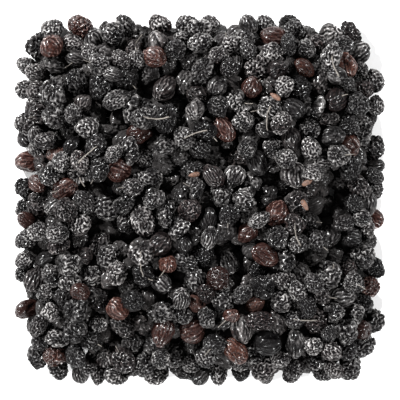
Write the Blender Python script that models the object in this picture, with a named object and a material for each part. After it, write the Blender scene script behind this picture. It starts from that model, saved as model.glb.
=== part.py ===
"""A cluster of dried elderberries, lying heaped on a table as one low mound with a soft square outline.

The mass of black berries is one fused body: every berry that can be seen stands out of a smaller core.
Brown berries, bare seeds and bits of stalk lie loose on the black ones, each as its own solid.
Metres, +Z up, origin on the table under the middle of the cluster.
"""

import math

import bmesh
import bpy
import numpy as np
from mathutils import Matrix, Vector

# Driving dimensions.
BERRY = 0.0048                  # mean width of one dried berry
BERRY_SPREAD = (0.80, 1.15)     # smallest and largest berry, as shares of the mean
WIDTH = 0.0850                  # outline across the flats, over the rim berries
HEIGHT = 0.0165                 # table to the top of the highest berries
SQUARENESS = 8.0                # exponent of the outline: 2 is a circle, large is a square
RIM_HEIGHT = 0.0056             # room for one berry at the outline
REPOSE = math.radians(45)       # slope of the sides just above the rim
GAP = 0.00035                   # between a loose piece and what carries it
APART = 0.0010                  # least room between two loose pieces

# The heap.
SEED = 11
TRIES = 150                     # places tried for each berry before the lowest is kept
NUDGES = (0.35, 0.18, 0.09)     # then it rolls this share of its size, in rounds
NUDGE_TRIES = 24                # places tried in each round
FULL_AFTER = 25                 # berries in a row that found no room
OUTERMOST = 0.6                 # a centre stays this many radii inside the outline
HOLLOWS = 24                    # places on top where berries are missing
HOLLOW_REACH = (0.0042, 0.0072) # from the top of the heap to the centres of those missing
HOLLOW_FIELD = 0.037            # half width of the area that has them

# The fused mass.
CORE_INSET = 1.1                # of a mean radius, from the outline to the core's foot
CORE_STEPS = (0.005, 0.007, 0.011)  # from its foot inwards to each higher edge of the dome
CORE_DEPTH = 1.25               # of a berry, from the top of the heap down to the core
ROOT = 0.0010                   # a berry's root goes this far into the core
ROOT_TAPER = 0.2                # and narrows to this share less on its way
FUSED_FACES = 11500             # of the black berries and the core, once they are one body
SKY = 90                        # directions in which a berry may be seen
SEEN = 0.20                     # a berry open to this share of them is modelled
DENT = 0.12                     # unevenness of a shrivelled berry, as a share of its radius
BLACK_GROWTH = 1.10             # corners of a coarse ball stand out past the round one
BROWN_GROWTH = 0.98             # the finer brown ones don't need that
SQUASH = (1.08, 1.00, 0.90)     # its three widths, as shares

# The loose pieces.
BROWN_BERRIES = 34
BROWN_SEEN = 0.30               # they lie on top, open to at least this share
SEED_HALF = (0.00150, 0.00085, 0.00055)  # half length, width and thickness
SEED_TAPER = 0.16               # how much narrower the seed gets towards its tip
SEED_DEPTH = 0.0028             # how far under the top of the heap the seeds may lie
SEED_TRIES = 400                # places looked at for each seed
SEEDS = 4
TIP = math.radians(18)          # a seed leans up to this much
LEVEL = 0.030                   # half width of the level top, where the seeds lie
STALK_RADIUS = 0.00025
STALK_LENGTH = (0.0030, 0.0050)  # between the two berries that carry it
STALK_OVERHANG = 0.08           # a stalk runs past the tops that carry it by this share
STALK_TILT = 0.15               # rise over length, at most
STALK_BOW = 0.0005              # sideways, at its middle
STALK_FLARE = 0.9               # how much thicker its berry end is
STALK_STEPS = 6                 # points along it
STALK_SEEN = 0.38               # the berries under it are open to this share
STALKS = 8

BLACK = (0.012, 0.010, 0.012, 1.0)
BROWN = (0.090, 0.028, 0.018, 1.0)
TAN = (0.300, 0.130, 0.060, 1.0)
STRAW = (0.230, 0.200, 0.160, 1.0)


def inset_of(x, y):
    """How far inside the outline a point lies, in metres."""
    half = WIDTH / 2
    share = (np.abs(x / half) ** SQUARENESS + np.abs(y / half) ** SQUARENESS) ** (1 / SQUARENESS)
    return half * (1 - share)


def roof_over(x, y):
    """The height that the heap fills at a point: steep at the rim, then rounding over to level."""
    crest = HEIGHT - RIM_HEIGHT
    return RIM_HEIGHT + crest * np.tanh(inset_of(x, y) * math.tan(REPOSE) / crest)


def rest_heights(places, radius, centres, radii):
    """The centre height at which a berry dropped straight down at each place comes to rest."""
    if not len(radii):
        return np.full(len(places), radius)
    reach = radius + radii
    aside = np.hypot(places[:, None, 0] - centres[:, 0], places[:, None, 1] - centres[:, 1])
    over = centres[:, 2] + np.sqrt(np.maximum(reach**2 - aside**2, 0))
    return np.maximum(np.where(aside < reach, over, radius).max(1), radius)


def lowest_place(places, radius, centres, radii):
    """The place with room under the roof where the berry comes to rest lowest, or None."""
    inside = inset_of(places[:, 0], places[:, 1]) > OUTERMOST * radius
    heights = rest_heights(places, radius, centres, radii)
    inside &= heights + radius <= roof_over(places[:, 0], places[:, 1])
    if not inside.any():
        return None
    best = np.argmin(np.where(inside, heights, np.inf))
    return np.array([*places[best], heights[best]])


def settle_berries(rng):
    """Drops berries one by one until the heap is full. Returns their centres and radii."""
    centres, radii = np.empty((0, 3)), np.empty(0)
    misses = 0
    while misses < FULL_AFTER:
        radius = BERRY / 2 * rng.uniform(*BERRY_SPREAD)
        place = lowest_place(rng.uniform(-WIDTH / 2, WIDTH / 2, (TRIES, 2)), radius, centres, radii)
        if place is None:
            misses += 1
            continue
        misses = 0
        for nudge in NUDGES:
            around = place[:2] + rng.uniform(-nudge, nudge, (NUDGE_TRIES, 2)) * 2 * radius
            rolled = lowest_place(around, radius, centres, radii)
            if rolled is not None and rolled[2] < place[2]:
                place = rolled
        centres = np.vstack([centres, place])
        radii = np.append(radii, radius)
    return centres, radii


def leave_hollows(centres, radii, rng):
    """Takes the top berries away here and there. Returns the centres and radii of the rest."""
    spots = rng.uniform(-HOLLOW_FIELD, HOLLOW_FIELD, (HOLLOWS, 2))
    reach = rng.uniform(*HOLLOW_REACH, HOLLOWS)
    tops = np.column_stack([spots, roof_over(spots[:, 0], spots[:, 1])])
    kept = (np.linalg.norm(centres[:, None] - tops, axis=2) > reach).all(1)
    return centres[kept], radii[kept]


def sky_directions(count):
    """Directions spread evenly over the half sphere above the table."""
    k = np.arange(count) + 0.5
    rise = k / count
    turn = k * math.pi * (3 - math.sqrt(5))
    out = np.sqrt(1 - rise**2)
    return np.stack([out * np.cos(turn), out * np.sin(turn), rise], axis=1)


def open_shares(centres, radii):
    """For each berry, the share of directions above the table in which no other berry hides it."""
    gaps = centres[None] - centres[:, None]
    distances = (gaps**2).sum(2)
    clear = np.zeros(len(radii))
    for direction in sky_directions(SKY):
        along = gaps @ direction
        aside = distances - along**2
        clear += ~((along > 0) & (aside < radii[None] ** 2)).any(1)
    return clear / SKY


def make_material(name, colour, roughness):
    """A plain Principled material."""
    material = bpy.data.materials.new(name)
    material.use_nodes = True
    shader = material.node_tree.nodes["Principled BSDF"]
    shader.inputs["Base Color"].default_value = colour
    shader.inputs["Roughness"].default_value = roughness
    return material


def make_collection(name):
    """A collection in the scene."""
    collection = bpy.data.collections.new(name)
    bpy.context.scene.collection.children.link(collection)
    return collection


def object_from(bm, name, collection, material=None):
    """The bmesh as an object of the collection."""
    mesh = bpy.data.meshes.new(name)
    bm.to_mesh(mesh)
    bm.free()
    if material:
        mesh.materials.append(material)
    made = bpy.data.objects.new(name, mesh)
    collection.objects.link(made)
    return made


def core_height(x, y):
    """The top of the core at a point."""
    return roof_over(x, y) - CORE_DEPTH * BERRY


def make_core(collection, material):
    """The hidden inside of the heap: a low dome with a square foot, flat where it rests on the table."""
    bm = bmesh.new()
    foot = WIDTH / 2 - CORE_INSET * BERRY / 2
    rise = core_height(foot, 0)
    bmesh.ops.create_cube(bm, size=1)
    bmesh.ops.scale(bm, vec=(2 * foot, 2 * foot, rise), verts=bm.verts)
    bmesh.ops.translate(bm, vec=(0, 0, rise / 2), verts=bm.verts)
    upright = [e for e in bm.edges if abs(e.verts[0].co.z - e.verts[1].co.z) > rise / 2]
    bmesh.ops.bevel(
        bm, geom=upright, offset=WIDTH / SQUARENESS, offset_type="OFFSET", segments=3,
        affect="EDGES", profile=0.5, material=-1,
    )
    top = max(bm.faces, key=lambda face: face.calc_center_median().z)
    reach = foot
    for step in CORE_STEPS:
        top = bmesh.ops.extrude_discrete_faces(bm, faces=[top])["faces"][0]
        shrink = (reach - step) / reach
        reach -= step
        lift = core_height(reach, 0) - top.verts[0].co.z
        bmesh.ops.scale(bm, vec=(shrink, shrink, 1), verts=top.verts)
        bmesh.ops.translate(bm, vec=(0, 0, lift), verts=top.verts)
    return object_from(bm, "black_berries", collection, material)


def berry_shape(radius, detail, rng):
    """A shrivelled berry round its own centre: an uneven ball, wider one way than the others."""
    bm = bmesh.new()
    bmesh.ops.create_icosphere(bm, subdivisions=detail, radius=radius)
    for vert in bm.verts:
        vert.co *= 1 + rng.uniform(-DENT, DENT)
    bmesh.ops.scale(bm, vec=SQUASH, verts=bm.verts)
    axis = Vector(rng.normal(size=3)).normalized()
    turn = Matrix.Rotation(rng.uniform(0, math.tau), 3, axis)
    bmesh.ops.rotate(bm, cent=(0, 0, 0), matrix=turn, verts=bm.verts)
    return bm


def make_black_berry(centre, radius, rng, collection):
    """A berry to be fused, with its hidden underside drawn down into the core as a root."""
    bm = berry_shape(radius * BLACK_GROWTH, 1, rng)
    low = min(v.co.z for v in bm.verts)
    bottom = max(0.0, min(centre[2] + low, core_height(centre[0], centre[1]) - ROOT))
    drop = (bottom - centre[2]) / low
    for vert in bm.verts:
        if vert.co.z < 0:
            slim = 1 - ROOT_TAPER * min(1, vert.co.z / low)
            vert.co = (vert.co.x * slim, vert.co.y * slim, vert.co.z * drop)
    bmesh.ops.translate(bm, vec=centre, verts=bm.verts)
    return object_from(bm, "berry", collection)


def make_pocket(piece, growth, collection):
    """A cutter of the loose piece's own shape, larger all round, so that a gap is left where it lies."""
    pocket = bpy.data.objects.new(piece.name + "_pocket", piece.data.copy())
    for vert in pocket.data.vertices:
        vert.co += vert.normal * growth
    pocket.matrix_world = piece.matrix_world
    collection.objects.link(pocket)
    return pocket


def merge(target, collection, operation):
    """Joins the collection to the target, or cuts it away, and removes what was used."""
    boolean = target.modifiers.new(operation.lower(), "BOOLEAN")
    boolean.operation = operation
    boolean.operand_type = "COLLECTION"
    boolean.collection = collection
    boolean.solver = "MANIFOLD"
    graph = bpy.context.evaluated_depsgraph_get()
    merged = bpy.data.meshes.new_from_object(target.evaluated_get(graph))
    target.modifiers.remove(boolean)
    target.data = merged
    for used in list(collection.objects):
        bpy.data.objects.remove(used)
    bpy.data.collections.remove(collection)


def thin_out(target):
    """Drops the small faces that lie hidden between neighbouring berries. The foot stays on the table."""
    decimate = target.modifiers.new("thin out", "DECIMATE")
    decimate.ratio = FUSED_FACES / sum(len(face.vertices) - 2 for face in target.data.polygons)
    graph = bpy.context.evaluated_depsgraph_get()
    thinned = bpy.data.meshes.new_from_object(target.evaluated_get(graph))
    for vert in thinned.vertices:
        vert.co.z = max(vert.co.z, 0.0)
    target.modifiers.remove(decimate)
    target.data = thinned


def choose_browns(centres, radii, shares, rng):
    """The berries on top of the heap that dried brown, no two of them side by side."""
    chosen = []
    standing_out = centres[:, 2] > core_height(centres[:, 0], centres[:, 1])
    for i in rng.permutation(np.flatnonzero(standing_out & (shares > BROWN_SEEN))):
        apart = [np.linalg.norm(centres[i] - centres[j]) - radii[i] - radii[j] for j in chosen]
        if min(apart, default=1) > APART:
            chosen.append(i)
        if len(chosen) == BROWN_BERRIES:
            break
    return chosen


def make_brown_berry(name, centre, radius, rng, collection, material):
    """A loose brown berry in its place on the heap."""
    bm = berry_shape(radius * BROWN_GROWTH, 2, rng)
    low = min(v.co.z for v in bm.verts)
    berry = object_from(bm, name, collection, material)
    berry.location = (*centre[:2], max(centre[2], -low))
    return berry


def clear_of(point, radius, taken):
    """Whether a round place keeps its distance from every loose piece set down so far."""
    return all((point - spot).length > radius + reach + APART for spot, reach in taken)


def make_seed(name, place, rng, collection, material):
    """A bare seed lying in a hollow between berries: a flattened egg, narrower at one end."""
    bm = bmesh.new()
    bmesh.ops.create_icosphere(bm, subdivisions=2, radius=1)
    for vert in bm.verts:
        narrow = 1 - SEED_TAPER * (vert.co.x + 1)
        vert.co = (
            vert.co.x * SEED_HALF[0],
            vert.co.y * SEED_HALF[1] * narrow,
            vert.co.z * SEED_HALF[2] * narrow,
        )
    seed = object_from(bm, name, collection, material)
    seed.location = place
    seed.rotation_euler = (rng.uniform(-TIP, TIP), rng.uniform(-TIP, TIP), rng.uniform(0, math.tau))
    return seed


def make_seeds(centres, radii, taken, rng, collection, material):
    """Bare seeds in the hollows on top of the heap. Their places are added to those taken."""
    seeds = []
    reach = SEED_HALF[0]
    ball = SEED_HALF[1]
    while len(seeds) < SEEDS:
        places = rng.uniform(-LEVEL, LEVEL, (SEED_TRIES, 2))
        heights = rest_heights(places, ball, centres, radii)
        order = np.argsort(heights)
        best = order[np.searchsorted(heights[order], HEIGHT - SEED_DEPTH)]
        place = Vector((*places[best], heights[best]))
        if not clear_of(place, reach, taken):
            continue
        seeds.append(make_seed(f"bare_seed_{len(seeds) + 1}", place, rng, collection, material))
        taken.append((place, reach))
    return seeds


def make_stalk(name, ends, rng, collection, material):
    """A dry bit of berry stalk: a thin bowed stick, thicker where the berry sat."""
    start, end = ends
    run = end - start
    bow = Vector((-run.y, run.x, 0)).normalized() * rng.uniform(-STALK_BOW, STALK_BOW)
    curve = bpy.data.curves.new(name, "CURVE")
    curve.dimensions = "3D"
    curve.bevel_depth = STALK_RADIUS
    curve.bevel_resolution = 1
    curve.use_fill_caps = True
    spline = curve.splines.new("POLY")
    spline.points.add(STALK_STEPS - 1)
    for k, point in enumerate(spline.points):
        t = k / (STALK_STEPS - 1)
        point.co = (*(start + run * t + bow * math.sin(math.pi * t)), 1)
        point.radius = 1 + STALK_FLARE * t**6
    wire = bpy.data.objects.new(name, curve)
    collection.objects.link(wire)
    graph = bpy.context.evaluated_depsgraph_get()
    bm = bmesh.new()
    bm.from_mesh(bpy.data.meshes.new_from_object(wire.evaluated_get(graph)))
    bmesh.ops.remove_doubles(bm, verts=bm.verts, dist=STALK_RADIUS / 100)
    bpy.data.objects.remove(wire)
    return object_from(bm, name, collection, material)


def make_stalks(centres, radii, shares, taken, rng, collection, material):
    """Bits of stalk, each lying across the tops of two neighbouring black berries."""
    stalks = []
    tops = [Vector(c) + Vector((0, 0, r + STALK_RADIUS)) for c, r in zip(centres, radii)]
    on_top = [i for i in np.flatnonzero(shares > STALK_SEEN) if clear_of(tops[i], 0, taken)]
    for i in rng.permutation(on_top):
        for j in on_top:
            run = tops[j] - tops[i]
            level = abs(run.z) < STALK_TILT * run.length
            if i == j or not level or not STALK_LENGTH[0] < run.length < STALK_LENGTH[1]:
                continue
            spread = run * STALK_OVERHANG
            ends = (tops[i] - spread, tops[j] + spread)
            middle = (tops[i] + tops[j]) / 2
            reach = (ends[1] - ends[0]).length / 2
            low = min(tops[i].z, tops[j].z)
            if low < HEIGHT - BERRY or not clear_of(middle, reach, taken):
                continue
            stalks.append(make_stalk(f"stalk_{len(stalks) + 1}", ends, rng, collection, material))
            taken.append((middle, reach))
            break
        if len(stalks) == STALKS:
            break
    return stalks


def main():
    """Builds the cluster."""
    for startup in list(bpy.data.objects):
        bpy.data.objects.remove(startup)
    cluster = make_collection("elderberry_cluster")
    to_join = make_collection("berries to join")
    to_cut = make_collection("pockets to cut")
    black = make_material("black_skin", BLACK, 0.42)
    brown = make_material("brown_skin", BROWN, 0.55)
    tan = make_material("seed_coat", TAN, 0.7)
    straw = make_material("dry_stalk", STRAW, 0.75)

    rng = np.random.default_rng(SEED)
    centres, radii = leave_hollows(*settle_berries(rng), rng)
    shares = open_shares(centres, radii)
    browns = choose_browns(centres, radii, shares, rng)

    core = make_core(cluster, black)
    for i in np.flatnonzero(shares > SEEN):
        if i not in browns:
            make_black_berry(centres[i], radii[i], rng, to_join)
    merge(core, to_join, "UNION")

    loose = []
    for n, i in enumerate(browns, 1):
        name = f"brown_berry_{n:02d}"
        loose.append(make_brown_berry(name, centres[i], radii[i], rng, cluster, brown))
    taken = [(Vector(centres[i]), radii[i]) for i in browns]
    loose += make_seeds(centres, radii, taken, rng, cluster, tan)
    loose += make_stalks(centres, radii, shares, taken, rng, cluster, straw)
    bpy.context.view_layer.update()
    for piece in loose:
        make_pocket(piece, GAP, to_cut)
    merge(core, to_cut, "DIFFERENCE")
    thin_out(core)


main()
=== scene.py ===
"""The looks of the dried elderberry cluster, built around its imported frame.

Every berry that can be seen is a shrivelled skin. A few dozen skins are made by letting a slack round skin
buckle over a shrunken pulp, and each is laid many times, turned and sized anew, at the places where the
berries settled. Brown berries, bare seeds and bits of stalk lie where their nodes are.
"""

import logging
import math
from dataclasses import dataclass, field
from enum import Enum

import bmesh
import bpy
import numpy as np
from mathutils import Matrix, Quaternion, Vector, kdtree


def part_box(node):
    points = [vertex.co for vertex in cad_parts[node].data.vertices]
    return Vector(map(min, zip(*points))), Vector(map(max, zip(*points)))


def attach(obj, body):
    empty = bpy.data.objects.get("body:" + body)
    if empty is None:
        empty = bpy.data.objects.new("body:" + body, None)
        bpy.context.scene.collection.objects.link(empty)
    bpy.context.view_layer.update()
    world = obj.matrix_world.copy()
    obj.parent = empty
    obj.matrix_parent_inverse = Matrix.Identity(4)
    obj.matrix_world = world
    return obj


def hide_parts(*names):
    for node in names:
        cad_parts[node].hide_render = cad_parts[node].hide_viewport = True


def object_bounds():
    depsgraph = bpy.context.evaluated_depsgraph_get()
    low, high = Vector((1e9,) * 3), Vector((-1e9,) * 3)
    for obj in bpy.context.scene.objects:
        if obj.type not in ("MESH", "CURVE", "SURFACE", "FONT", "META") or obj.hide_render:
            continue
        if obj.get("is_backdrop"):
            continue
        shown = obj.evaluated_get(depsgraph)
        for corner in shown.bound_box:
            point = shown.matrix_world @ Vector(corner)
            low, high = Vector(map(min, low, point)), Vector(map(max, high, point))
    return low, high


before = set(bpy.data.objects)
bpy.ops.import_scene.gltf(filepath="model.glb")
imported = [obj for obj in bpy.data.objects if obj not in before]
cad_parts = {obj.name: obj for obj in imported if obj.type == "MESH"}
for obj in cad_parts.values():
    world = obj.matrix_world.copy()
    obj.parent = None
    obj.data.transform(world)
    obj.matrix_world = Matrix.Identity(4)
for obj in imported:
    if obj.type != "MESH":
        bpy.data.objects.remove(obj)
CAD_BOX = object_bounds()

log = logging.getLogger("elderberries")
BODY = "root"

Colour = tuple[float, float, float]


# Mesh helpers.


def finished(bm: bmesh.types.BMesh, name: str, material: bpy.types.Material) -> bpy.types.Object:
    """Makes a smooth-shaded piece from a bmesh.

    Args:
        bm: The shape, already in its place. It is freed.
        name: The piece's name.
        material: Its finish.

    Returns:
        The object, at the origin.
    """
    mesh = bpy.data.meshes.new(name)
    bm.to_mesh(mesh)
    bm.free()
    mesh.materials.append(material)
    mesh.shade_smooth()
    piece = bpy.data.objects.new(name, mesh)
    bpy.context.scene.collection.objects.link(piece)
    return piece


def hand_over(piece: bpy.types.Object, node: str) -> None:
    """Lets a piece stand for its node.

    Args:
        piece: The finished piece.
        node: The node that it replaces.
    """
    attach(piece, BODY)
    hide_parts(node)


def paint(mesh: bpy.types.Mesh, layer: str, value: float | np.ndarray) -> None:
    """Writes a number on every point of a mesh.

    Args:
        mesh: The mesh.
        layer: The attribute's name.
        value: One number for all points, or one for each.
    """
    data = mesh.attributes.get(layer) or mesh.attributes.new(layer, "FLOAT", "POINT")
    data.data.foreach_set("value", np.full(len(mesh.vertices), value, np.float32))


def unit(vectors: np.ndarray) -> np.ndarray:
    """The vectors at length one."""
    return vectors / np.linalg.norm(vectors, axis=-1, keepdims=True)


def share_of(values: np.ndarray) -> np.ndarray:
    """Where each value lies between the lowest and the highest ones, from 0 to 1."""
    low, high = np.percentile(values, (5, 97))
    return np.clip((values - low) / (high - low), 0, 1)


# The heap.


@dataclass(frozen=True)
class Heap:
    """The rule by which the berries settled, as the part's source has it. Sizes are in metres."""

    berry: float = 0.0048
    spread: tuple[float, float] = (0.80, 1.15)
    width: float = 0.0850
    height: float = 0.0165
    squareness: float = 8.0
    rim_height: float = 0.0056
    repose: float = math.radians(45)
    seed: int = 11
    tries: int = 150
    nudges: tuple[float, ...] = (0.35, 0.18, 0.09)
    nudge_tries: int = 24
    full_after: int = 25
    outermost: float = 0.6
    hollows: int = 24
    hollow_reach: tuple[float, float] = (0.0042, 0.0072)
    hollow_field: float = 0.037
    sky: int = 90

    def inset(self, x: np.ndarray, y: np.ndarray) -> np.ndarray:
        """How far inside the outline points lie.

        Args:
            x: Their places along X.
            y: Their places along Y.

        Returns:
            One distance for each, below 0 outside.
        """
        half = self.width / 2
        power = self.squareness
        share = (np.abs(x / half) ** power + np.abs(y / half) ** power) ** (1 / power)
        return half * (1 - share)

    def roof(self, x: np.ndarray, y: np.ndarray) -> np.ndarray:
        """The height that the heap fills at points."""
        crest = self.height - self.rim_height
        return self.rim_height + crest * np.tanh(self.inset(x, y) * math.tan(self.repose) / crest)

    def rest_heights(
        self, places: np.ndarray, radius: float, centres: np.ndarray, radii: np.ndarray
    ) -> np.ndarray:
        """The centre heights at which a berry dropped straight down comes to rest.

        Args:
            places: The points above which it is dropped.
            radius: Its radius.
            centres: The centres of the berries already there.
            radii: Their radii.

        Returns:
            One height for each place.
        """
        if not len(radii):
            return np.full(len(places), radius)
        reach = radius + radii
        aside = np.hypot(places[:, None, 0] - centres[:, 0], places[:, None, 1] - centres[:, 1])
        over = centres[:, 2] + np.sqrt(np.maximum(reach**2 - aside**2, 0))
        return np.maximum(np.where(aside < reach, over, radius).max(1), radius)

    def lowest_place(
        self, places: np.ndarray, radius: float, centres: np.ndarray, radii: np.ndarray
    ) -> np.ndarray | None:
        """The place under the roof where a berry comes to rest lowest.

        Args:
            places: The points to choose from.
            radius: The berry's radius.
            centres: The centres of the berries already there.
            radii: Their radii.

        Returns:
            Its centre, or None where no place has room.
        """
        inside = self.inset(places[:, 0], places[:, 1]) > self.outermost * radius
        heights = self.rest_heights(places, radius, centres, radii)
        inside &= heights + radius <= self.roof(places[:, 0], places[:, 1])
        if not inside.any():
            return None
        best = np.argmin(np.where(inside, heights, np.inf))
        return np.array([*places[best], heights[best]])

    def settle(self) -> tuple[np.ndarray, np.ndarray]:
        """Drops berries one by one until the heap is full, then takes some off the top.

        Returns:
            The centres and radii of those left.
        """
        rng = np.random.default_rng(self.seed)
        half = self.width / 2
        centres, radii = np.empty((0, 3)), np.empty(0)
        misses = 0
        while misses < self.full_after:
            radius = self.berry / 2 * rng.uniform(*self.spread)
            drops = rng.uniform(-half, half, (self.tries, 2))
            place = self.lowest_place(drops, radius, centres, radii)
            if place is None:
                misses += 1
                continue
            misses = 0
            for nudge in self.nudges:
                around = place[:2] + rng.uniform(-nudge, nudge, (self.nudge_tries, 2)) * 2 * radius
                rolled = self.lowest_place(around, radius, centres, radii)
                if rolled is not None and rolled[2] < place[2]:
                    place = rolled
            centres = np.vstack([centres, place])
            radii = np.append(radii, radius)
        return self.leave_hollows(centres, radii, rng)

    def leave_hollows(
        self, centres: np.ndarray, radii: np.ndarray, rng: np.random.Generator
    ) -> tuple[np.ndarray, np.ndarray]:
        """Takes the top berries away here and there.

        Args:
            centres: The centres of all berries.
            radii: Their radii.
            rng: The source of random numbers.

        Returns:
            The centres and radii of the rest.
        """
        spots = rng.uniform(-self.hollow_field, self.hollow_field, (self.hollows, 2))
        reach = rng.uniform(*self.hollow_reach, self.hollows)
        tops = np.column_stack([spots, self.roof(spots[:, 0], spots[:, 1])])
        kept = (np.linalg.norm(centres[:, None] - tops, axis=2) > reach).all(1)
        return centres[kept], radii[kept]

    def open_shares(self, centres: np.ndarray, radii: np.ndarray) -> np.ndarray:
        """How open each berry lies.

        Args:
            centres: The centres of the berries.
            radii: Their radii.

        Returns:
            For each, the share of directions above the table in which none hides it.
        """
        k = np.arange(self.sky) + 0.5
        rise = k / self.sky
        turn = k * math.pi * (3 - math.sqrt(5))
        out = np.sqrt(1 - rise**2)
        gaps = centres[None] - centres[:, None]
        distances = (gaps**2).sum(2)
        clear = np.zeros(len(radii))
        for direction in np.stack([out * np.cos(turn), out * np.sin(turn), rise], axis=1):
            along = gaps @ direction
            aside = distances - along**2
            clear += ~((along > 0) & (aside < radii[None] ** 2)).any(1)
        return clear / self.sky


@dataclass(frozen=True)
class Settled:
    """The settled berries: their centres, radii and how open each lies."""

    centres: np.ndarray
    radii: np.ndarray
    shares: np.ndarray


# Skins.


class Drying(Enum):
    """How a berry dried: its skin's slack, that slack's share along the berry, widths, lobes and hollows."""

    SHRIVELLED = (0.50, 0.75, (1.08, 1.00, 0.88), 0.14, 0.16)
    LONG = (0.46, 0.62, (1.30, 0.92, 0.80), 0.12, 0.14)
    PINCHED = (0.54, 0.80, (1.14, 1.02, 0.72), 0.20, 0.34)
    PLUMP = (0.40, 0.90, (1.04, 1.02, 0.94), 0.10, 0.08)
    RIBBED = (0.34, 0.34, (1.22, 0.92, 0.82), 0.10, 0.10)
    SMOOTH = (0.16, 0.45, (1.24, 0.98, 0.86), 0.10, 0.14)

    @property
    def slack(self) -> float:
        """How much longer the skin is than the pulp's outline, as a share."""
        return self.value[0]

    @property
    def lengthwise(self) -> float:
        """The share of that slack along the berry. Less of it makes the folds run lengthwise."""
        return self.value[1]

    @property
    def widths(self) -> tuple[float, float, float]:
        """The pulp's three widths, as shares of the berry's."""
        return self.value[2]

    @property
    def lobes(self) -> float:
        """How far the seeds push the pulp out, as a share of the radius."""
        return self.value[3]

    @property
    def hollows(self) -> float:
        """How far the pulp sank between them, as a share of the radius."""
        return self.value[4]


@dataclass(frozen=True)
class Skin:
    """One shrivelled skin of unit mean radius. Its crest attribute says how high each point stands."""

    fine: bpy.types.Mesh
    plain: bpy.types.Mesh
    coarse: bpy.types.Mesh


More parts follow.
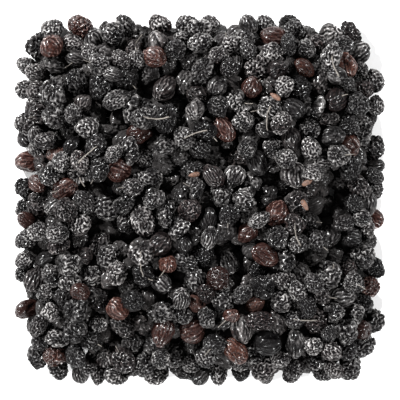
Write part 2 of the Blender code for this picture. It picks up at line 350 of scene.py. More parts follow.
@dataclass
class SkinMaker:
    """Lets slack skins buckle over shrunken pulps."""

    detail: int = 6
    steps: int = 200
    drag: float = 0.80
    stretch: float = 0.10
    bend: float = 0.20
    cling: float = 0.0008
    deepen: float = 1.25
    evening: int = 24
    floor: float = 0.10
    sink: float = 0.035
    noise: float = 0.012
    seeds: int = 4
    seed_flatness: float = 0.6
    hollow_count: int = 3
    hollow_width: float = 0.22
    wave_count: int = 4
    wave_rate: float = 2.2
    wave_share: float = 0.18
    eye: float = 0.24
    eye_rim: tuple[float, float] = (0.07, 0.07)
    eye_dip: tuple[float, float] = (0.10, 0.13)
    crest_mix: float = 0.6
    fine_faces: int = 3400
    plain_faces: int = 1500
    coarse_faces: int = 200
    start: np.ndarray = field(init=False)
    ring: np.ndarray = field(init=False)
    ball: bpy.types.Mesh = field(init=False)

    def __post_init__(self) -> None:
        """Makes the round skin that every berry starts from, and finds each point's neighbours."""
        bm = bmesh.new()
        bmesh.ops.create_icosphere(bm, subdivisions=self.detail, radius=1)
        self.ball = bpy.data.meshes.new("round skin")
        bm.to_mesh(self.ball)
        self.start = unit(np.array([v.co for v in bm.verts], np.float32))
        rings = [[e.other_vert(v).index for e in v.link_edges] for v in bm.verts]
        self.ring = np.array([r + [i] * (6 - len(r)) for i, r in enumerate(rings)])
        bm.free()

    def pulp(self, drying: Drying, rng: np.random.Generator) -> np.ndarray:
        """The shrunken pulp: an uneven egg, pushed out where its seeds lie, with a dimpled eye at its tip.

        Args:
            drying: How the berry dried.
            rng: The source of random numbers.

        Returns:
            Its points.
        """
        around = math.tau * (np.arange(self.seeds) + rng.normal(0, 0.2, self.seeds)) / self.seeds
        seeds = unit(np.column_stack([rng.normal(0, 0.3, self.seeds), np.cos(around), np.sin(around)]))
        bulge = (np.clip((self.start * (self.seed_flatness, 1, 1)) @ seeds.T, 0, 1) ** 2).max(1)
        sunk = unit(rng.normal(size=(self.hollow_count, 3)))
        hollow = np.exp(-(((1 - self.start @ sunk.T) / self.hollow_width) ** 2)).sum(1)
        waves = sum(
            np.sin(self.start @ rng.normal(0, self.wave_rate, 3) + rng.uniform(0, 6))
            for _ in range(self.wave_count)
        )
        radius = 1 + drying.lobes * (bulge - bulge.mean() + self.wave_share * waves) - drying.hollows * hollow
        tip = np.arccos(np.clip(self.start[:, 0], -1, 1))
        (rim, rim_width), (dip, dip_width) = self.eye_rim, self.eye_dip
        radius += rim * np.exp(-(((tip - self.eye) / rim_width) ** 2)) - dip * np.exp(-((tip / dip_width) ** 2))
        return (self.start * radius[:, None] * drying.widths).astype(np.float32)

    def buckle(self, drying: Drying, rng: np.random.Generator) -> tuple[np.ndarray, np.ndarray]:
        """Drapes a slack skin over a pulp and lets it fold.

        Args:
            drying: How the berry dried.
            rng: The source of random numbers.

        Returns:
            The skin's points, and how far each stands over the skin round it, from 0 to 1.
        """
        pulp = self.pulp(drying, rng)
        out = unit(pulp)
        spans = pulp[self.ring] - pulp[:, None]
        length = np.linalg.norm(spans, axis=2)
        along = np.abs(spans[..., 0]) / (length + 1e-9)
        rest = length * (1 + drying.slack * (1 - (1 - drying.lengthwise) * along))
        skin = pulp * (1 + rng.normal(0, self.noise, (len(pulp), 1))).astype(np.float32)
        speed = np.zeros_like(skin)
        for _ in range(self.steps):
            near = skin[self.ring] - skin[:, None]
            length = np.sqrt((near**2).sum(2)) + 1e-9
            force = ((1 - rest / length)[..., None] * near).sum(1) * self.stretch
            curve = near.mean(1)
            force -= (curve[self.ring].mean(1) - curve) * self.bend
            depth = ((skin - pulp) * out).sum(1)
            press = -self.cling * depth - self.floor * np.minimum(depth + self.sink, 0)
            speed = self.drag * speed + force + press[:, None] * out
            skin = skin + speed
        depth = ((skin - pulp) * out).sum(1)
        level = depth
        for _ in range(self.evening):
            level = level[self.ring].mean(1)
        crest = share_of(depth - level) * (1 - self.crest_mix + self.crest_mix * share_of(depth))
        skin += (self.deepen - 1) * (depth - depth.mean())[:, None] * out
        size = np.linalg.norm(skin, axis=1).mean()
        return skin / size, share_of(crest)

    def thinned(self, name: str, points: np.ndarray, crest: np.ndarray, faces: int) -> bpy.types.Mesh:
        """The skin with fewer faces, which carries its crest attribute.

        Args:
            name: The mesh's name.
            points: The skin's points.
            crest: How high each stands.
            faces: The number of faces to keep.

        Returns:
            The mesh.
        """
        full = self.ball.copy()
        full.vertices.foreach_set("co", points.ravel())
        holder = bpy.data.objects.new(name, full)
        bpy.context.scene.collection.objects.link(holder)
        holder.modifiers.new("thin", "DECIMATE").ratio = faces / len(full.polygons)
        graph = bpy.context.evaluated_depsgraph_get()
        mesh = bpy.data.meshes.new_from_object(holder.evaluated_get(graph))
        bpy.data.objects.remove(holder)
        bpy.data.meshes.remove(full)
        tree = kdtree.KDTree(len(points))
        for i, point in enumerate(points):
            tree.insert(point, i)
        tree.balance()
        paint(mesh, "crest", np.array([crest[tree.find(v.co)[1]] for v in mesh.vertices]))
        return mesh

    def make(self, name: str, drying: Drying, rng: np.random.Generator) -> Skin:
        """Makes one skin, fine for the berries on top, plain for those half hidden and coarse for buried ones.

        Args:
            name: The name of its meshes.
            drying: How the berry dried.
            rng: The source of random numbers.

        Returns:
            The skin.
        """
        points, crest = self.buckle(drying, rng)
        counts = (self.fine_faces, self.plain_faces, self.coarse_faces)
        return Skin(*[self.thinned(f"{name}, {faces}", points, crest, faces) for faces in counts])


# Finishes.

WARP_SCALE = 900
WARP_REACH = 0.0006


def link(tree: bpy.types.NodeTree, source: bpy.types.NodeSocket, target: bpy.types.NodeSocket) -> None:
    """Joins two sockets."""
    tree.links.new(source, target)


def new_group(name: str, inputs: dict[str, float], outputs: dict[str, str]) -> bpy.types.NodeTree:
    """Makes an empty shader group.

    Args:
        name: The group's name.
        inputs: Each number that goes in, with its default.
        outputs: Each output, with its socket type.

    Returns:
        The group, with its two end nodes named In and Out.
    """
    group = bpy.data.node_groups.new(name, "ShaderNodeTree")
    for title, default in inputs.items():
        socket = group.interface.new_socket(title, in_out="INPUT", socket_type="NodeSocketFloat")
        socket.default_value = default
    for title, kind in outputs.items():
        group.interface.new_socket(title, in_out="OUTPUT", socket_type=kind)
    group.nodes.new("NodeGroupInput").name = "In"
    group.nodes.new("NodeGroupOutput").name = "Out"
    return group


def mottle_group() -> bpy.types.NodeTree:
    """Soft patches, as of bloom rubbed off a skin.

    Returns:
        The group. It puts out a mask from 0 to 1.
    """
    group = new_group("mottle", {"Patch": 600.0, "Low": 0.40, "High": 0.62}, {"Mask": "NodeSocketFloat"})
    nodes = group.nodes
    where = nodes.new("ShaderNodeTexCoord")
    noise = nodes.new("ShaderNodeTexNoise")
    noise.inputs["Detail"].default_value = 4
    noise.inputs["Roughness"].default_value = 0.6
    spread = nodes.new("ShaderNodeMapRange")
    link(group, where.outputs["Object"], noise.inputs["Vector"])
    link(group, nodes["In"].outputs["Patch"], noise.inputs["Scale"])
    link(group, noise.outputs["Fac"], spread.inputs["Value"])
    link(group, nodes["In"].outputs["Low"], spread.inputs["From Min"])
    link(group, nodes["In"].outputs["High"], spread.inputs["From Max"])
    link(group, spread.outputs["Result"], nodes["Out"].inputs["Mask"])
    return group


def crinkle_group() -> bpy.types.NodeTree:
    """Fine creases between the folds.

    Returns:
        The group. It puts out a normal, and a mask that is 0 in the creases.
    """
    group = new_group(
        "crinkle",
        {"Fine": 1500.0, "Width": 0.14, "Depth": 0.00008, "Strength": 0.5},
        {"Normal": "NodeSocketVector", "Crease": "NodeSocketFloat"},
    )
    nodes = group.nodes
    where = nodes.new("ShaderNodeTexCoord")
    warp = nodes.new("ShaderNodeTexNoise")
    warp.inputs["Scale"].default_value = WARP_SCALE
    pushed = nodes.new("ShaderNodeVectorMath")
    pushed.operation = "MULTIPLY_ADD"
    pushed.inputs[1].default_value = (WARP_REACH,) * 3
    cells = nodes.new("ShaderNodeTexVoronoi")
    cells.feature = "DISTANCE_TO_EDGE"
    ridge = nodes.new("ShaderNodeMapRange")
    bump = nodes.new("ShaderNodeBump")
    link(group, where.outputs["Object"], warp.inputs["Vector"])
    link(group, warp.outputs["Color"], pushed.inputs[0])
    link(group, where.outputs["Object"], pushed.inputs[2])
    link(group, pushed.outputs["Vector"], cells.inputs["Vector"])
    link(group, nodes["In"].outputs["Fine"], cells.inputs["Scale"])
    link(group, cells.outputs["Distance"], ridge.inputs["Value"])
    link(group, nodes["In"].outputs["Width"], ridge.inputs["From Max"])
    link(group, ridge.outputs["Result"], bump.inputs["Height"])
    link(group, nodes["In"].outputs["Depth"], bump.inputs["Distance"])
    link(group, nodes["In"].outputs["Strength"], bump.inputs["Strength"])
    link(group, bump.outputs["Normal"], nodes["Out"].inputs["Normal"])
    link(group, ridge.outputs["Result"], nodes["Out"].inputs["Crease"])
    return group


class Shade:
    """A material under construction: a Principled shader, and short ways to wire colours into it."""

    def __init__(self, name: str) -> None:
        """Starts a material.

        Args:
            name: The material's name.
        """
        self.material = bpy.data.materials.new(name)
        self.material.use_nodes = True
        self.tree = self.material.node_tree
        self.shader = self.tree.nodes["Principled BSDF"]

    def number(self, attribute: str) -> bpy.types.NodeSocket:
        """Reads a mesh attribute.

        Args:
            attribute: Its name.

        Returns:
            Its value.
        """
        node = self.tree.nodes.new("ShaderNodeAttribute")
        node.attribute_name = attribute
        return node.outputs["Fac"]

    def group(self, group: bpy.types.NodeTree, **values: float) -> bpy.types.ShaderNodeGroup:
        """Places a shared group with its own values.

        Args:
            group: The group.
            **values: The group's inputs by name.

        Returns:
            The node.
        """
        node = self.tree.nodes.new("ShaderNodeGroup")
        node.node_tree = group
        for title, value in values.items():
            node.inputs[title].default_value = value
        return node

    def power(self, base: bpy.types.NodeSocket, exponent: float) -> bpy.types.NodeSocket:
        """Raises a number to a power.

        Args:
            base: The number.
            exponent: The power.

        Returns:
            The result.
        """
        node = self.tree.nodes.new("ShaderNodeMath")
        node.operation = "POWER"
        node.inputs[1].default_value = exponent
        link(self.tree, base, node.inputs[0])
        return node.outputs["Value"]

    def times(self, one: bpy.types.NodeSocket, other: float | bpy.types.NodeSocket) -> bpy.types.NodeSocket:
        """Multiplies two numbers.

        Args:
            one: The first.
            other: The second, or a socket.

        Returns:
            The product.
        """
        node = self.tree.nodes.new("ShaderNodeMath")
        node.operation = "MULTIPLY"
        link(self.tree, one, node.inputs[0])
        if isinstance(other, float):
            node.inputs[1].default_value = other
        else:
            link(self.tree, other, node.inputs[1])
        return node.outputs["Value"]

    def blend(
        self,
        share: bpy.types.NodeSocket,
        low: Colour | bpy.types.NodeSocket,
        high: Colour | bpy.types.NodeSocket,
    ) -> bpy.types.NodeSocket:
        """Mixes two colours.

        Args:
            share: How much of the second.
            low: The first colour, or a socket.
            high: The second.

        Returns:
            The mixed colour.
        """
        node = self.tree.nodes.new("ShaderNodeMix")
        node.data_type = "RGBA"
        link(self.tree, share, node.inputs["Factor"])
        for colour, socket in ((low, node.inputs[6]), (high, node.inputs[7])):
            if isinstance(colour, tuple):
                socket.default_value = (*colour, 1.0)
            else:
                link(self.tree, colour, socket)
        return node.outputs[2]

    def between(self, share: bpy.types.NodeSocket, low: float, high: float) -> bpy.types.NodeSocket:
        """A number between two limits.

        Args:
            share: Where between them, from 0 to 1.
            low: The value at 0.
            high: The value at 1.

        Returns:
            The number.
        """
        node = self.tree.nodes.new("ShaderNodeMapRange")
        node.inputs["To Min"].default_value = low
        node.inputs["To Max"].default_value = high
        link(self.tree, share, node.inputs["Value"])
        return node.outputs["Result"]


@dataclass(frozen=True)
class SkinFinish:
    """A dried skin: darkened in its creases as painted shade, glossy and rubbed grey on its crests as wear and
    painted highlight, with patches of bloom, and lightened on buried berries as painted light.
    """

    name: str
    # The crease colour is painted shade: it darkens the folds and the fine creases.
    painted_crease_shade: Colour
    dull: Colour
    bright: Colour
    blush: Colour
    bloom: Colour
    bloom_share: float
    # The rubbed colour is partly real wear and partly a painted highlight on the crests.
    rub_and_highlight: Colour
    # The dust colour is painted light: it lightens the berries that lie buried.
    painted_fill: Colour
    rough: tuple[float, float]
    coat: float
    patch: float = 520.0
    sharpness: float = 2.0
    rub_and_highlight_patch: float = 330.0
    rub_and_highlight_sharpness: float = 5.0
    fine: float = 1200.0
    # The share of the skin colour left in the fine creases; the rest is painted shade.
    fine_shade_share: float = 0.3
    shine: float = 0.12
    coat_rough: float = 0.20
    coat_sharpness: float = 3.0
    rub_and_highlight_limits: tuple[float, float] = (0.38, 0.58)

    def material(self, mottle: bpy.types.NodeTree, crinkle: bpy.types.NodeTree) -> bpy.types.Material:
        """Builds the material.

        Args:
            mottle: The group of soft patches.
            crinkle: The group of fine creases.

        Returns:
            The material.
        """
        shade = Shade(self.name)
        tree, shader = shade.tree, shade.shader
        crest = shade.number("crest")
        patches = shade.group(mottle, Patch=self.patch).outputs["Mask"]
        fine = shade.group(crinkle, Fine=self.fine)
        # The tone is random, and darker on hidden berries as painted shade.
        skin = shade.blend(shade.number("tone_and_shade"), self.dull, self.bright)
        skin = shade.blend(shade.number("blush"), skin, self.blush)
        skin = shade.blend(shade.times(patches, self.bloom_share), skin, self.bloom)
        # Painted shade: the skin darkens towards the crease colour in the folds, away from the crests.
        high = shade.power(crest, self.sharpness)
        skin = shade.blend(high, self.painted_crease_shade, skin)
        # The crests turn grey where the mottle allows, on berries of light tone: partly rubbed wear, partly
        # painted highlight.
        worn_and_highlit = shade.times(shade.power(crest, self.rub_and_highlight_sharpness), shade.number("tone_and_shade"))
        rub_and_highlight_low, rub_and_highlight_high = self.rub_and_highlight_limits
        where = shade.group(mottle, Patch=self.rub_and_highlight_patch, Low=rub_and_highlight_low, High=rub_and_highlight_high).outputs["Mask"]
        skin = shade.blend(shade.times(worn_and_highlit, where), skin, self.rub_and_highlight)
        # Painted shade: the fine creases are darkened towards the crease colour.
        fine_shade_share = shade.between(fine.outputs["Crease"], self.fine_shade_share, 1.0)
        skin = shade.blend(fine_shade_share, self.painted_crease_shade, skin)
        # Painted light: buried berries are lightened towards a pale grey, lifting their shade.
        skin = shade.blend(shade.number("painted_fill"), skin, self.painted_fill)
        link(tree, skin, shader.inputs["Base Color"])
        link(tree, shade.between(patches, *self.rough), shader.inputs["Roughness"])
        coat = shade.times(shade.power(crest, self.coat_sharpness), self.coat)
        link(tree, coat, shader.inputs["Coat Weight"])
        link(tree, fine.outputs["Normal"], shader.inputs["Normal"])
        shader.inputs["Coat Roughness"].default_value = self.coat_rough
        shader.inputs["Specular IOR Level"].default_value = self.shine
        return shade.material


@dataclass(frozen=True)
class DryFinish:
    """A dry, matt surface with a grain, darkened in its fine creases as painted shade: a seed's coat or a
    stalk.
    """

    name: str
    dark: Colour
    light: Colour
    rough: float
    grain: float

    def material(self, mottle: bpy.types.NodeTree, crinkle: bpy.types.NodeTree) -> bpy.types.Material:
        """Builds the material.

        Args:
            mottle: The group of soft patches.
            crinkle: The group of fine creases.

        Returns:
            The material.
        """
        shade = Shade(self.name)
        patches = shade.group(mottle, Patch=self.grain, Low=0.3, High=0.7).outputs["Mask"]
        fine = shade.group(crinkle, Fine=5200.0, Width=0.3, Depth=0.00004)
        colour = shade.blend(patches, self.dark, self.light)
        # Painted shade: the fine creases are darkened.
        colour = shade.blend(shade.between(fine.outputs["Crease"], 0.45, 0.0), colour, self.dark)
        link(shade.tree, colour, shade.shader.inputs["Base Color"])
        link(shade.tree, fine.outputs["Normal"], shade.shader.inputs["Normal"])
        shade.shader.inputs["Roughness"].default_value = self.rough
        return shade.material


# In both skins the crease colour is painted shade, the rubbed colour is partly wear and partly painted
# highlight, and the dust colour is painted light on buried berries.
BLACK_SKIN = SkinFinish(
    name="black dried skin",
    painted_crease_shade=(0.0030, 0.0027, 0.0028),
    dull=(0.0030, 0.0027, 0.0027),
    bright=(0.0110, 0.0098, 0.0096),
    blush=(0.0300, 0.0130, 0.0110),
    bloom=(0.0380, 0.0370, 0.0400),
    bloom_share=0.22,
    rub_and_highlight=(0.3400, 0.3250, 0.3180),
    painted_fill=(0.0420, 0.0390, 0.0380),
    rough=(0.28, 0.44),
    coat=1.00,
    sharpness=2.4,
    rub_and_highlight_sharpness=2.3,
    shine=0.04,
)
BROWN_SKIN = SkinFinish(
    name="brown dried skin",
    painted_crease_shade=(0.0060, 0.0022, 0.0018),
    dull=(0.0100, 0.0038, 0.0030),
    bright=(0.0550, 0.0210, 0.0160),
    blush=(0.1400, 0.0560, 0.0380),
    bloom=(0.0160, 0.0100, 0.0096),
    bloom_share=0.40,
    rub_and_highlight=(0.2000, 0.1350, 0.1200),
    painted_fill=(0.0500, 0.0360, 0.0330),
    rough=(0.22, 0.36),
    coat=0.90,
    sharpness=0.9,
)
SEED_COAT = DryFinish("seed coat", (0.030, 0.012, 0.007), (0.150, 0.070, 0.038), 0.62, 1400.0)
DRY_STALK = DryFinish("dry stalk", (0.040, 0.033, 0.028), (0.210, 0.190, 0.165), 0.70, 900.0)


# Pieces.


@dataclass
class NodeAxes:
    """The middle and the long, middle and short axes of a node, read from its mesh."""

    name: str
    middle: Vector = field(init=False)
    turn: Matrix = field(init=False)
    half: Vector = field(init=False)

    def __post_init__(self) -> None:
        """Finds the axes."""
        points = np.array([v.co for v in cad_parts[self.name].data.vertices])
        centre = (points.max(0) + points.min(0)) / 2
        _, _, axes = np.linalg.svd(points - points.mean(0), full_matrices=False)
        if np.linalg.det(axes) < 0:
            axes[2] *= -1
        reach = (points - centre) @ axes.T
        self.middle = Vector(centre + axes.T @ ((reach.max(0) + reach.min(0)) / 2))
        self.turn = Matrix(axes.T.tolist())
        self.half = Vector((reach.max(0) - reach.min(0)) / 2)


@dataclass
class Berries:
    """The shrivelled berries of the heap, black and brown."""

    settled: Settled
    black: bpy.types.Material
    brown: bpy.types.Material
    seed: int = 5
    sectors: int = 9
    on_top: float = 0.40
    shown: float = 0.14
    fullness: float = 1.02
    stretch: tuple[float, float] = (0.85, 1.12)
    # Berries less open than this are lightened as painted light.
    painted_fill_below: float = 0.45
    tone_power: float = 1.2
    blush: tuple[float, float] = (-0.20, 0.45)
    lean: float = math.radians(60)
    smoothest: int = 5
    kinds: tuple[tuple[Drying, int], ...] = (
        (Drying.SHRIVELLED, 9),
        (Drying.LONG, 6),
        (Drying.PINCHED, 5),
        (Drying.RIBBED, 1),
        (Drying.PLUMP, 2),
        (Drying.SMOOTH, 4),
    )

    def make_skins(self) -> list[Skin]:
        """Lets every skin dry, in the same order each time.

        Returns:
            The skins, with the smoothest last.
        """
        maker = SkinMaker()
        kinds = [kind for kind, count in self.kinds for _ in range(count)]
        made = []
        for n, kind in enumerate(kinds):
            made.append(maker.make(f"skin {n}", kind, np.random.default_rng([self.seed, n])))
        log.info("%d skins dried", len(made))
        return made

    def turned(self, rng: np.random.Generator) -> Quaternion:
        """Picks a random turn that mostly keeps a flat side of the berry up.

        Args:
            rng: The source of random numbers.

        Returns:
            The turn.
        """
        side = rng.uniform(0, math.tau)
        tip = Quaternion((math.cos(side), math.sin(side), 0), rng.uniform(0, self.lean))
        over = Quaternion((1, 0, 0), math.pi * rng.integers(2))
        return tip @ Quaternion((0, 0, 1), rng.uniform(0, math.tau)) @ over

    def lay(
        self,
        bm: bmesh.types.BMesh,
        mesh: bpy.types.Mesh,
        centre: np.ndarray,
        radius: float,
        share: float,
        rng: np.random.Generator,
    ) -> None:
        """Adds one berry to a bmesh.

        Args:
            bm: The bmesh that takes it.
            mesh: Its skin.
            centre: Where it lies.
            radius: Its size.
            share: How open it lies. The less open a berry lies, the darker its tone, as painted shade, and the
                fewer its rubbed, highlit crests; a buried one is also lightened towards grey, as painted light
                in the shade.
            rng: The source of random numbers.
        """
        berry = mesh.copy()
        size = radius * self.fullness * rng.uniform(*self.stretch, 3)
        berry.transform(self.turned(rng).to_matrix().to_4x4() @ Matrix.Diagonal((*size, 1)))
        points = np.array([v.co for v in berry.vertices])
        lowest, highest = np.array(CAD_BOX[0]) - points.min(0), np.array(CAD_BOX[1]) - points.max(0)
        berry.transform(Matrix.Translation(np.clip(centre, lowest, highest)))
        # Painted shade: the random tone is darkened on berries that lie hidden.
        paint(berry, "tone_and_shade", rng.uniform() ** self.tone_power * min(1.0, (2 * share) ** 2))
        # Painted light: the less open a buried berry lies, the more it is lightened towards grey.
        paint(berry, "painted_fill", max(0.0, 1 - share / self.painted_fill_below))
        paint(berry, "blush", max(0.0, rng.normal(*self.blush)))
        bm.from_mesh(berry)
        bpy.data.meshes.remove(berry)

    def brown_nodes(self, centres: np.ndarray) -> dict[int, str]:
        """Finds the berry that each brown node stands for.

        Args:
            centres: The centres of the berries.

        Returns:
            The node of each brown berry.
        """
        found = {}
        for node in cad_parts:
            if node.startswith("brown_berry"):
                low, high = (np.array(corner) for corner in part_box(node))
                found[int(np.linalg.norm(centres - (low + high) / 2, axis=1).argmin())] = node
        return found

    def build(self) -> None:
        """Makes the black berries, sector by sector, and the brown ones one by one."""
        centres, radii, shares = self.settled.centres, self.settled.radii, self.settled.shares
        browns = self.brown_nodes(centres)
        skins = self.make_skins()
        rng = np.random.default_rng(self.seed)
        groups = [bmesh.new() for _ in range(self.sectors + 1)]
        for i, (centre, radius, share) in enumerate(zip(centres, radii, shares)):
            kept = skins[-1 - rng.integers(self.smoothest if i in browns else len(skins))]
            detail = kept.fine if share > self.on_top else kept.plain if share > self.shown else kept.coarse
            if i in browns:
                alone = bmesh.new()
                self.lay(alone, detail, centre, radius, share, rng)
                hand_over(finished(alone, "dried_" + browns[i], self.brown), browns[i])
                continue
            sector = int(math.atan2(centre[1], centre[0]) / math.tau % 1 * self.sectors)
            self.lay(groups[sector if share > self.shown else -1], detail, centre, radius, share, rng)
        for n, bm in enumerate(groups, 1):
            name = f"black_berries_sector_{n}" if n <= self.sectors else "black_berries_inner"
            log.info("%s: %d faces", name, len(bm.faces))
            hand_over(finished(bm, name, self.black), "black_berries")
        log.info("%d berries, %d of them brown", len(radii), len(browns))


@dataclass
class BareSeeds:
    """Seeds that lost their berry: flattened, keeled nutlets."""

    material: bpy.types.Material
    seed: int = 21
    taper: float = 0.16
    pitting: float = 0.05
    pits_along: float = 9.0
    pits_across: float = 8.0
    keel: float = 0.10
    keel_width: float = 0.25

    def build(self) -> None:
        """Makes a seed where each seed node lies."""
        rng = np.random.default_rng(self.seed)
        for node in sorted(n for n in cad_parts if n.startswith("bare_seed")):
            axes = NodeAxes(node)
            bm = bmesh.new()
            bmesh.ops.create_icosphere(bm, subdivisions=4, radius=1)
            phases = rng.uniform(0, math.tau, 3)
            for vert in bm.verts:
                x, y, z = vert.co
                narrow = 1 - self.taper * (x + 1)
                keel = 1 + self.keel * math.exp(-((y / self.keel_width) ** 2))
                waves = math.sin(self.pits_along * x + phases[0]) * math.sin(self.pits_across * y + phases[1])
                pits = 1 - self.pitting * waves
                vert.co = Vector((x, y * narrow, z * narrow * keel)) * pits
                vert.co = Vector(c * h for c, h in zip(vert.co, axes.half))
            every_way = {"use_axis_x": True, "use_axis_y": True, "use_axis_z": True}
            bmesh.ops.smooth_vert(bm, verts=bm.verts, factor=0.4, **every_way)
            bmesh.ops.transform(bm, matrix=Matrix.Translation(axes.middle) @ axes.turn.to_4x4(), verts=bm.verts)
            piece = finished(bm, node.replace("bare", "loose"), self.material)
            hand_over(piece, node)
            log.info("seed %s", node)


def put_in_order(bm: bmesh.types.BMesh) -> None:
    """Sorts the faces by their corners. Extrusions leave them in an order that changes from run to run.

    Args:
        bm: The bmesh.
    """
    count = len(bm.verts)
    bm.verts.index_update()
    bm.faces.sort(key=lambda face: min(v.index for v in face.verts) * count + max(v.index for v in face.verts))


def stick(path: list[Vector], widths: list[float], sides: int) -> bmesh.types.BMesh:
    """Draws a round stick out along a path, ring by ring.

    Args:
        path: The points along its middle.
        widths: Its radius at each point.
        sides: The number of sides.

    Returns:
        The stick.
    """
    bm = bmesh.new()
    ring = bmesh.ops.create_circle(bm, cap_ends=True, segments=sides, radius=1)["verts"]
    rings, loop = [ring], list(bm.edges)
    for _ in path[1:]:
        grown = bmesh.ops.extrude_edge_only(bm, edges=loop)["geom"]
        loop = [part for part in grown if isinstance(part, bmesh.types.BMEdge)]
        rings.append([part for part in grown if isinstance(part, bmesh.types.BMVert)])
    bmesh.ops.contextual_create(bm, geom=loop)
    for k, (ring, point, width) in enumerate(zip(rings, path, widths)):
        run = path[min(k + 1, len(path) - 1)] - path[max(k - 1, 0)]
        turn = run.to_track_quat("Z", "Y").to_matrix().to_4x4()
        place = Matrix.Translation(point) @ turn @ Matrix.Scale(width, 4)
        bmesh.ops.transform(bm, matrix=place, verts=ring)
    bmesh.ops.recalc_face_normals(bm, faces=bm.faces)
    put_in_order(bm)
    return bm


@dataclass
class Stalks:
    """Bits of berry stalk: thin, bowed, swollen where the berry sat."""

    material: bpy.types.Material
    seed: int = 31
    sides: int = 8
    steps: int = 14
    radius: float = 0.00013
    bowing: tuple[float, float] = (0.2, 0.8)
    wander: float = 0.00004
    swelling: float = 0.9
    unevenness: float = 0.15

    def build(self) -> None:
        """Makes a stalk along each stalk node."""
        rng = np.random.default_rng(self.seed)
        for node in sorted(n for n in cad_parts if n.startswith("stalk")):
            axes = NodeAxes(node)
            bow = (axes.half.y - self.radius) * rng.uniform(*self.bowing)
            path, widths = [], []
            for t in np.linspace(0, 1, self.steps):
                wander = Vector(rng.normal(0, self.wander, 3))
                spot = Vector(((2 * t - 1) * axes.half.x, bow * (2 * math.sin(math.pi * t) - 1), 0))
                path.append(axes.middle + axes.turn @ (spot + wander))
                end = 0.6 if t in (0, 1) else 1
                change = self.swelling * t**8 + rng.uniform(-self.unevenness, self.unevenness)
                widths.append(self.radius * end * (1 + change))
            piece = finished(stick(path, widths, self.sides), "dry_" + node, self.material)
            hand_over(piece, node)
            log.info("stalk %s", node)


@dataclass
class Stubs:
    """Short bits of stalk that some black berries kept. They stick out where nothing is in their way."""

    material: bpy.types.Material
    heap: Heap
    settled: Settled
    seed: int = 41
    count: int = 30
    open_share: float = 0.40
    off_rim: float = 0.005
    lengths: tuple[float, float] = (0.0012, 0.0028)
    rise: tuple[float, float] = (0.1, 0.8)
    tries: int = 24
    radius: float = 0.00011
    sides: int = 6
    widths: tuple[float, ...] = (1.5, 1.2, 1.0, 0.9, 0.95, 0.6)
    bending: float = 0.12
    root: float = 0.75

    def build(self) -> None:
        """Makes all the stubs as one piece."""
        centres, radii = self.settled.centres, self.settled.radii
        rng = np.random.default_rng(self.seed)
        whole = bmesh.new()
        inside = self.heap.inset(centres[:, 0], centres[:, 1]) > self.off_rim
        free = np.flatnonzero(inside & (self.settled.shares > self.open_share))
        for i in rng.permutation(free)[: self.count]:
            length = rng.uniform(*self.lengths)
            ways = [self.way(rng) for _ in range(self.tries)]
            ends = [centres[i] + np.array(way) * (radii[i] + length) for way in ways]
            room = [np.delete(np.linalg.norm(centres - end, axis=1) - radii, i).min() for end in ends]
            way = ways[int(np.argmax(room))]
            start = Vector(centres[i]) + way * radii[i] * self.root
            self.add(whole, start, way, length + radii[i] * (1 - self.root), rng)
        piece = finished(whole, "stalk_stubs", self.material)
        hand_over(piece, "black_berries")
        log.info("%d stubs", self.count)

    def way(self, rng: np.random.Generator) -> Vector:
        """A direction that points outwards and a little up."""
        around, up = rng.uniform(0, math.tau), rng.uniform(*self.rise)
        return Vector((math.cos(around) * math.cos(up), math.sin(around) * math.cos(up), math.sin(up)))

    def add(
        self, whole: bmesh.types.BMesh, root: Vector, way: Vector, length: float, rng: np.random.Generator
    ) -> None:
        """Adds one stub.

        Args:
            whole: The bmesh that takes it.
            root: Where it leaves its berry's pulp.
            way: Its direction.
            length: Its length.
            rng: The source of random numbers.
        """
        bend = Vector(rng.normal(0, self.bending, 3)) * length
        spots = np.linspace(0, 1, len(self.widths))
        path = [root + way * (length * t) + bend * t * t for t in spots]
        widths = [self.radius * w for w in self.widths]
        made = bpy.data.meshes.new("stub")
        bm = stick(path, widths, self.sides)
        bm.to_mesh(made)
        bm.free()
        whole.from_mesh(made)
        bpy.data.meshes.remove(made)


# The studio.


@dataclass
class Lamp:
    """A square soft light, aimed at the middle of the heap."""

    name: str
    place: tuple[float, float, float]
    size: float
    power: float

    def hang(self, aim: Vector) -> None:
        """Hangs the light.

        Args:
            aim: The point that it faces.
        """
        light = bpy.data.lights.new(self.name, "AREA")
        light.size = self.size
        light.energy = self.power
        lamp = bpy.data.objects.new(self.name, light)
        lamp.location = self.place
        lamp.rotation_euler = (aim - Vector(self.place)).to_track_quat("-Z", "Y").to_euler()
        bpy.context.scene.collection.objects.link(lamp)


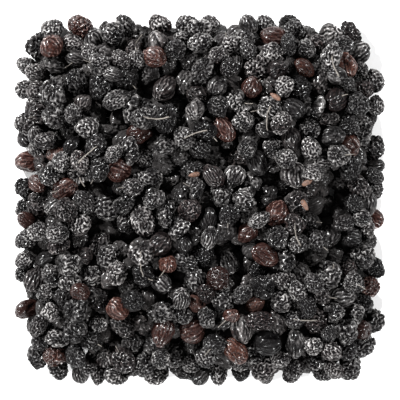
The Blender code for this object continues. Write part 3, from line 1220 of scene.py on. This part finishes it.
@dataclass
class Studio:
    """A pale floor, soft lights, and a camera looking straight down."""

    floor_size: float = 3.0
    floor_tone: Colour = (0.90, 0.90, 0.90)
    distance: float = 0.62
    margin: float = 1.053
    glow: float = 0.17
    lamps: tuple[Lamp, ...] = (
        Lamp("key", (-0.32, 0.32, 0.28), 0.05, 9.0),
        Lamp("fill", (0.44, 0.16, 0.28), 0.05, 4.0),
        Lamp("low", (0.08, -0.46, 0.28), 0.05, 4.0),
        Lamp("back", (-0.42, -0.22, 0.28), 0.05, 2.6),
    )

    def build(self) -> None:
        """Sets the floor, the lights and the camera."""
        low, high = (Vector(c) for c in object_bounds())
        middle = (low + high) / 2
        self.lay_floor(low.z)
        for lamp in self.lamps:
            lamp.hang(middle)
        world = bpy.data.worlds.new("studio air")
        world.use_nodes = True
        world.node_tree.nodes["Background"].inputs["Color"].default_value = (1, 1, 1, 1)
        world.node_tree.nodes["Background"].inputs["Strength"].default_value = self.glow
        bpy.context.scene.world = world
        bpy.context.scene.view_settings.view_transform = "Standard"
        self.set_camera(middle, max(high.x - low.x, high.y - low.y), high.z)

    def lay_floor(self, level: float) -> None:
        """Lays the floor just under the heap.

        Args:
            level: The height that the heap stands at.
        """
        bm = bmesh.new()
        bmesh.ops.create_grid(bm, x_segments=1, y_segments=1, size=self.floor_size / 2)
        bmesh.ops.translate(bm, vec=(0, 0, level), verts=bm.verts)
        shade = Shade("pale floor")
        shade.shader.inputs["Base Color"].default_value = (*self.floor_tone, 1)
        shade.shader.inputs["Roughness"].default_value = 0.9
        finished(bm, "floor", shade.material)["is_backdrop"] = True

    def set_camera(self, middle: Vector, width: float, top: float) -> None:
        """Puts the camera straight above the heap.

        Args:
            middle: The heap's middle.
            width: Its width.
            top: Its highest point.
        """
        data = bpy.data.cameras.new("camera")
        data.sensor_width = 36
        data.lens = data.sensor_width * self.distance / (width * self.margin)
        camera = bpy.data.objects.new("camera", data)
        camera.location = (middle.x, middle.y, top + self.distance)
        bpy.context.scene.collection.objects.link(camera)
        bpy.context.scene.camera = camera


def main() -> None:
    """Builds and dresses the cluster, then sets the studio."""
    logging.basicConfig(level=logging.INFO, format="%(name)s: %(message)s")
    mottle, crinkle = mottle_group(), crinkle_group()
    heap = Heap()
    centres, radii = heap.settle()
    settled = Settled(centres, radii, heap.open_shares(centres, radii))
    Berries(settled, BLACK_SKIN.material(mottle, crinkle), BROWN_SKIN.material(mottle, crinkle)).build()
    BareSeeds(SEED_COAT.material(mottle, crinkle)).build()
    straw = DRY_STALK.material(mottle, crinkle)
    Stalks(straw).build()
    Stubs(straw, heap, settled).build()
    Studio().build()


if __name__ == "__main__":
    main()
